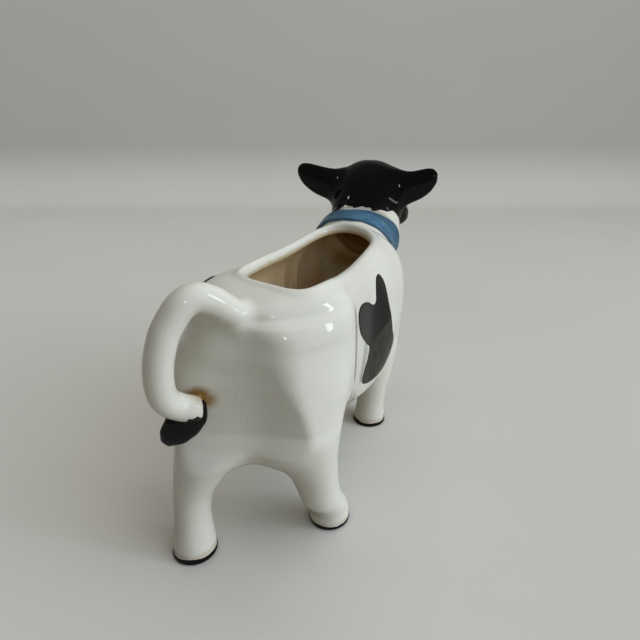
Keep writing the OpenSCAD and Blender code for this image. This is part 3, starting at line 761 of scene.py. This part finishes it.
def rim_bead(rim, out):
    """The rounded bead of clay that lies along the rim."""
    high = back_height(rim) - LIP_D / 2 + LIP_D / 10
    return tube(oval_rings(np.column_stack([rim, high]), np.column_stack([out, 0 * high]) * LIP_D / 2,
                           np.tile([0, 0, LIP_D / 2], (len(rim), 1)), 20), loop=True)


def cream_space(f, whole, rim, out):
    """The cavity, uneven below the shoulder, and the opening cut square down through the back."""
    x, y, z = f.axes()
    space = hollow(f, WALL * (1 - np.linspace(0, 1, HOLLOW_STEPS + 1)))
    wave = 0.7 * np.sin(0.30 * x + 0.8 * np.sin(0.07 * z))
    wave = wave + 0.3 * np.sin(0.55 * x + 1.7) * np.cos(0.12 * y)
    space = np.maximum(space + wave * np.clip((90 - z) / 12, 0, 1), whole + LEAST_WALL)
    line = rim - out * RIM_INSET
    block = [np.column_stack([line, np.full(len(line), high)]) for high in RIM_BLOCK_Z]
    return join(space, f.solid(tube(block)), CAVITY_FILLET)


def clay_body():
    """The fired clay of body, legs and tail as one piece, with its depth, stain and foot edge marked."""
    f = Field(*BODY_BOX, BODY_VOXEL)
    x, y, z = f.axes()
    rim, out = opening_rim()
    whole = join(clay_form(f), f.solid(tail_mesh()), ramp(z, TAIL_FILLET).astype(np.float32))
    whole = join(whole, f.solid(rim_bead(rim, out)), BEAD_FILLET)
    skin = np.maximum(whole, beyond(x, z, *NECK_PLANE) - WHITE_UNDER - black_line(y))
    skin = np.maximum(cut(skin, cream_space(f, whole, rim, out), RIM_ROUND), WHITE_UP - z)
    mesh = relax(f.mesh(skin), 4)
    pts = mesh[0]
    stain = np.clip(1.5 - np.linalg.norm((pts - STAIN_AT) / STAIN_R, axis=1), 0, 1)
    edge = np.clip(1.5 - np.abs(pts[:, 2] - WORN_AT) / WORN_REACH, 0, 1)
    make("clay_body", mesh, WHITE,
         ("body", "tail", "front_left_leg", "front_right_leg", "rear_left_leg", "rear_right_leg"),
         {"depth": -f.at(whole, pts), "stain": stain, "edge": edge})


# The head with its ears, muzzle, lips and nostrils
def ear_and_eye(f, form, side):
    """Adds an ear with its cup, a brow, an eyelid and a nostril on one side of the head."""
    eye = EYE_AT * [1, side, 1]
    form = join(form, f.solid(ear_mesh(side)), LEFT_EAR_FILLET if side == LEFT else RIGHT_EAR_FILLET)
    cup = ball(CUP_AT * [1, side, 1], CUP_R, Matrix.Rotation(side * math.radians(CUP_TURN), 3, "X"))
    form = cut(form, f.solid(cup), CUP_ROUND)
    form = join(form, f.solid(ball(eye + BROW_AT * [1, side, 1], BROW_R)), BROW_FILLET)
    lid = bent_rod([eye + [LID_LONG * math.cos(a), side * LID_OUT, LID_HIGH * math.sin(a)]
                    for a in np.linspace(0, 2 * np.pi, 13)], LID_R, 12)
    form = join(form, f.solid(lid), LID_FILLET)
    nostril = ball(NOSTRIL_AT * [1, side, 1] + NOSTRIL_IN, NOSTRIL_R)
    return cut(form, f.solid(nostril), NOSTRIL_ROUND)


def lips():
    """A soft ring round the mouth."""
    around = np.linspace(0, 2 * np.pi, 64, endpoint=False)
    flat = np.zeros(64)
    out = np.stack([flat, np.cos(around), np.sin(around)], 1)
    middle = np.array([MOUTH_X - LIPS_D / 2 - LIPS_BACK, 0, MOUTH_Z])
    forward = np.tile([-LIPS_D / 2, 0, 0], (64, 1))
    return tube(oval_rings(middle + out * [0, MOUTH_W / 2, MOUTH_H / 2], out * LIPS_D / 2, forward, 20),
                loop=True)


def mouth_way():
    """The oval passage out of the mouth."""
    return tube(oval_rings(np.array([[x, 0, MOUTH_Z] for x in MOUTH_WAY_X]),
                           np.tile([0, MOUTH_W / 2, 0], (4, 1)),
                           np.tile([0, 0, MOUTH_H / 2], (4, 1)), 48))


def head_with_ears():
    """The black head, with its thin places and its inside marked."""
    f = Field(*HEAD_BOX, HEAD_VOXEL)
    x, y, z = f.axes()
    form = neck_and_barrel(f)
    for side in (LEFT, RIGHT):
        form = ear_and_eye(f, form, side)
    form = join(form, f.solid(lips()), LIPS_FILLET)
    inner = join(np.maximum(hollow(f), form + LEAST_WALL), f.solid(mouth_way()), CAVITY_FILLET)
    rag = 0.45 * np.sin(y * 0.55 + 0.7) + 0.25 * np.sin(y * 1.3 + z * 0.4)
    black = np.maximum(form - HEAD_INSET, black_line(y) - beyond(x, z, *NECK_PLANE) - rag)
    mesh = relax(f.mesh(cut(black, inner, HEAD_EDGE_ROUND)), 4)
    pts = mesh[0]
    from_line = beyond(pts[:, 0], pts[:, 2], *NECK_PLANE) - black_line(pts[:, 1])
    muzzle = np.clip((pts[:, 0] - 84) / 9, 0, 1) * 0.8
    thin = np.maximum(muzzle, np.clip(1 - from_line / 2.2, 0, 1) * 0.45)
    # The throat's depth mark carries the painted shade inside the neck
    throat = np.where(pts[:, 0] < 76, 4 - 1.5 * np.maximum(f.at(inner, pts), 0), 0)
    make("head_with_ears", mesh, HEAD_BLACK, ("head", "left_ear", "right_ear"),
         {"depth": np.maximum(-f.at(form, pts), throat), "thin": thin})


def eye_dome(side, node):
    """A low dome, with the distance from its middle for the painted pupil."""
    a = np.linspace(0, 1, 15)
    across = EYE_D / 2 * np.sin(a * math.pi / 2 + 0.02)
    up = EYE_H * np.cos(a * math.pi / 2)
    centre = EYE_AT * [1, side, 1] + [0, side * EYE_OUT, 0]
    places = centre + np.outer(up, [0, side, 0])
    long, high = EYE_OVAL
    mesh = tube(oval_rings(places, np.outer(across, [long, 0, 0]), np.outer(across, [0, 0, high]), 40))
    off = np.linalg.norm((mesh[0] - centre)[:, [0, 2]], axis=1)
    make(node + "_dome", mesh, EYE, (node,), {"off_axis": off})


def local(box, voxel):
    """A finer field round one place, with its axes and the whole clay form in it."""
    f = Field(*box, voxel)
    return f, *f.axes(), clay_form(f)


def collar_sides(x, y, z):
    """How far places are ahead of the collar's low edge, and behind its high edge."""
    low, high = sections(BODY, BARREL_W / 2)[[COLLAR_LOW, COLLAR_HIGH]]
    low_plane, high_plane = (section_plane(low + (high - low) * share) for share in COLLAR_SHARES)
    raised = ramp(y, COLLAR_RISE).astype(np.float32)
    return (beyond(x, z, *low_plane) - COLLAR_LOW_IN - raised,
            COLLAR_HIGH_OUT + raised - beyond(x, z, *high_plane))


def collar_band():
    """The collar, a strip laid round the neck with slightly uneven edges."""
    f, x, y, z, form = local(COLLAR_BOX, COLLAR_VOXEL)
    angle = np.arctan2(z - COLLAR_MID_Z, y)
    above, below = collar_sides(x, y, z)
    above = above + 0.22 * np.sin(5 * angle) + 0.15 * np.sin(11 * angle + 1)
    below = below - 0.2 * np.sin(4 * angle + 2) - 0.15 * np.sin(9 * angle)
    band = cut(cut(form - COLLAR_T, above, COLLAR_ROUND), below, COLLAR_ROUND)
    mesh = relax(f.mesh(np.maximum(band, -(form + COLLAR_SUNK))), 4)
    make("collar_band", mesh, BLUE, ("collar",),
         {"edge": np.clip(1.3 - np.minimum(*collar_sides(*mesh[0].T)), 0, 1)})


# Patches of black glaze, laid on the clay
def to_segment(px, pz, a, b, ra=0.0, rb=0.0):
    """Distance of a grid of points from a segment whose radius changes from ra to rb."""
    d = b - a
    u = np.clip(((px - a[0]) * d[0] + (pz - a[1]) * d[1]) / max(d @ d, 1e-9), 0, 1)
    return np.hypot(px - a[0] - u * d[0], pz - a[1] - u * d[1]) - (ra + (rb - ra) * u)


def inside_outline(px, pz, line):
    """Whether points are inside a closed line."""
    odd = np.zeros(np.broadcast(px, pz).shape, bool)
    for a, b in zip(line, np.roll(line, -1, 0)):
        if a[1] != b[1]:
            crossing = (b[0] - a[0]) * (pz - a[1]) / (b[1] - a[1]) + a[0]
            odd ^= ((a[1] > pz) != (b[1] > pz)) & (px < crossing)
    return odd


def to_right_patch(px, pz):
    """Distance from the right patch, seen from the side."""
    line = closed_curve(RIGHT_OUTLINE, 6)
    d = np.min([to_segment(px, pz, a, b) for a, b in zip(line, np.roll(line, -1, 0))], 0)
    return np.where(inside_outline(px, pz, line), -d, d)


def to_left_patch(px, pz):
    """Distance from the left patch's brush strokes, seen from the side."""
    s = np.array(LEFT_STROKES, float) / 100 * [COW_L, COW_H, COW_L]
    parts = [to_segment(px, pz, a[:2], b[:2], a[2] / 2, b[2] / 2) for a, b in zip(s, s[1:])]
    d = parts[0]
    for part in parts[1:]:
        d = join(d, part, STROKE_FILLET)
    return d


def patch(side, box, distance):
    """A patch: a shell of glaze, thinner low down and ahead on the cow's right."""
    name = "right" if side == RIGHT else "left"
    f, x, y, z, form = local(box, SMALL_VOXEL)
    d = distance(x[:, :, 0], z[:, 0, :])[:, None, :].astype(np.float32) + 0 * y
    shell = np.maximum(cut(form - PATCH_UP, -d, PATCH_ROUND), -(form + PATCH_SUNK))
    mesh = relax(f.mesh(shell), 3)
    px, _, pz = mesh[0].T
    thin = 0 * px
    if side == RIGHT:
        thin = np.maximum(np.clip((63.4 + 0.18 * px - pz) / 3.5 + 0.3, 0, 0.8),
                          np.clip((px + 0.8 * (pz - 80)) / 20, 0, 0.5))
    make(name + "_patch_glaze", mesh, PATCH, (name + "_flank_patch",), {"thin": thin})


def tail_tuft():
    """The tuft, with its glaze run up over the tail's end."""
    f = Field(*TUFT_BOX, SMALL_VOXEL)
    x, y, z = f.axes()
    run = TUFT_TIP - TUFT_TOP
    level = unit(np.array([-run[1], run[0], 0]))
    broad = np.cross(unit(run), level)
    bulge = smooth(np.array(TUFT_BULGE) / 100, 64)
    places = TUFT_TOP + np.outer(np.linspace(0, 1, 65), run)
    tuft = f.solid(tube(oval_rings(places, np.outer(bulge * TUFT_T / 2, level),
                                   np.outer(bulge * TUFT_W / 2, broad), 48)))
    lump = 0.18 * np.sin(x * 0.9 + z * 0.5) * np.sin(y * 0.8 + 1)
    far = np.sqrt((x - TAIL_END[0]) ** 2 + (y - TAIL_END[1]) ** 2 + (z - TAIL_END[2]) ** 2)
    ragged = z - TAIL_END[2] + RUN_RISE + 0.5 * np.sin(x * 1.9 + y * 1.1) + 0.35 * np.sin(y * 2.7 - x * 0.8)
    over = np.maximum(f.solid(tail_mesh(), 5) - RUN_UP, np.maximum(ragged, far - RUN_REACH))
    mesh = relax(f.mesh(join(tuft + lump, over, RUN_FILLET)), 3)
    make("tail_tuft_glaze", mesh, BLACK, ("tail_tuft",))


def foot(name, table, side):
    """A foot dipped in black glaze, with a wavy edge."""
    cx, cy = table[0][1] / 100 * COW_L, side * table[0][2] / 100 * BARREL_W
    f = Field((cx - FOOT_REACH, cy - FOOT_REACH, FOOT_LOW), (cx + FOOT_REACH, cy + FOOT_REACH, FOOT_HIGH),
              SMALL_VOXEL)
    x, y, z = f.axes()
    turn = np.arctan2(y - cy, x - cx)
    line = FOOT_LINE + 0.35 * np.sin(2 * turn + cx) + 0.18 * np.sin(5 * turn + cy)
    dipped = cut(f.solid(leg_mesh(table, side), 4) - FOOT_UP, line - z, FOOT_ROUND)
    dipped = cut(dipped, z + SOLE_UP, SOLE_ROUND)
    make(name + "_foot_glaze", relax(f.mesh(dipped), 3), BLACK, (name + "_hoof",))


# The floor with its backdrop, the lights and the camera
CAMERA_AT, LOOKS = Vector((-0.1976, -0.0713, 0.1483)), Vector((0.8755, 0.3204, -0.3616))
LENS, SENSOR = 27.3, 36.0
SHEET_BEND, SHEET_FAR, SHEET_NEAR, SHEET_HIGH, SHEET_HALF = 0.12, 1.12, -3.0, 3.0, 4.0
WINDOW_WAY = Vector((0.12, -0.90, 0.42)).normalized()
ROOM, DAYLIGHT, ROOM_SEEN = (0.060, 0.053, 0.036), (1.85, 1.98, 2.06), (0.22, 0.215, 0.205)


def sheet_paper():
    """Pale paper to look at, which sends less and warmer light back to the object."""
    m = Mat("pale_sheet")
    m.put("Base Color", m.mix(m.seen(), SHEET_LIT, m.mix(m.noise(6, 3), *SHEET)))
    m.put("Roughness", 0.8)
    m.put("Specular IOR Level", 0.2)
    m.bump([(m.noise(900, 2), 0.05)])
    return m.m


def stage():
    """A pale sheet: the floor, and a wall that it curves up into across the view."""
    ahead = Vector((LOOKS.x, LOOKS.y, 0)).normalized()
    side = Vector((-ahead.y, ahead.x, 0))
    profile = [(SHEET_NEAR, 0.0), (0.0, 0.0)]
    profile += [(SHEET_FAR - SHEET_BEND + SHEET_BEND * math.sin(a), SHEET_BEND - SHEET_BEND * math.cos(a))
                for a in (k * math.pi / 24 for k in range(13))]
    profile += [(SHEET_FAR, SHEET_HIGH)]
    verts = [Vector((CAMERA_AT.x, CAMERA_AT.y, 0)) + ahead * u + side * v + Vector((0, 0, w))
             for u, w in profile for v in (-SHEET_HALF, SHEET_HALF)]
    me = bpy.data.meshes.new("pale_sheet")
    me.from_pydata(verts, [], [(2 * k, 2 * k + 1, 2 * k + 3, 2 * k + 2) for k in range(len(profile) - 1)])
    me.polygons.foreach_set("use_smooth", [True] * len(me.polygons))
    me.materials.append(sheet_paper())
    obj = bpy.data.objects.new("pale_sheet", me)
    scene.collection.objects.link(obj)


def lamp(name, place, aim, size, power, colour, mirrored=True):
    data = bpy.data.lights.new(name, "AREA")
    data.shape, data.size, data.size_y = "RECTANGLE", size[0], size[1]
    data.energy, data.color = power, colour
    obj = bpy.data.objects.new(name, data)
    obj.location = place
    obj.visible_glossy = mirrored
    obj.rotation_euler = (Vector(aim) - Vector(place)).to_track_quat("-Z", "Y").to_euler()
    scene.collection.objects.link(obj)


def world():
    """A dim warm room, brighter towards a window at the cow's right, and seen as a plain pale one."""
    w = bpy.data.worlds.new("studio")
    scene.world = w
    w.use_nodes = True
    tree = Tree(w.node_tree)
    way = tree.node("ShaderNodeTexCoord").outputs["Generated"]
    facing = tree.node("ShaderNodeVectorMath", {0: way, 1: WINDOW_WAY}, operation="DOT_PRODUCT")
    light = tree.mix(tree.span(facing.outputs["Value"], 0.5, 1.0), ROOM, DAYLIGHT)
    back = tree.t.nodes["Background"]
    tree.link(tree.mix(tree.seen(), light, ROOM_SEEN), back.inputs["Color"])
    back.inputs["Strength"].default_value = 1.0


def camera():
    data = bpy.data.cameras.new("photo_view")
    data.lens, data.sensor_width = LENS, SENSOR
    obj = bpy.data.objects.new("photo_view", data)
    obj.location = CAMERA_AT
    obj.rotation_euler = LOOKS.to_track_quat("-Z", "Y").to_euler()
    data.clip_start = 0.01
    scene.collection.objects.link(obj)
    scene.camera = obj


clay_body()
head_with_ears()
eye_dome(LEFT, "left_eye")
eye_dome(RIGHT, "right_eye")
collar_band()
patch(RIGHT, RIGHT_PATCH_BOX, to_right_patch)
patch(LEFT, LEFT_PATCH_BOX, to_left_patch)
tail_tuft()
for leg_name, leg in LEGS.items():
    foot(leg_name, *leg)

stage()
world()
lamp("window", (0.05, -0.92, 0.33), (-0.03, -0.02, 0.08), (0.13, 0.5), 1.5, (0.88, 0.96, 1.0))
lamp("ceiling", (0.65, 0.0, 1.5), (0.35, 0, 0), (1.5, 1.6), 9.5, (1.0, 0.96, 0.88), mirrored=False)
lamp("fill", (0.7, 1.0, 0.6), (0, 0, 0.07), (0.8, 0.8), 1.6, (1.0, 0.97, 0.92), mirrored=False)
lamp("spark", (-0.9, -0.6, 0.42), (-0.07, 0, 0.09), (0.07, 0.12), 0.5, (1.0, 0.98, 0.95))
lamp("spark_far", (-0.3, 0.9, 0.7), (0.05, 0, 0.1), (0.06, 0.10), 0.35, (1.0, 0.97, 0.92))
camera()
scene.view_settings.view_transform = "Standard"
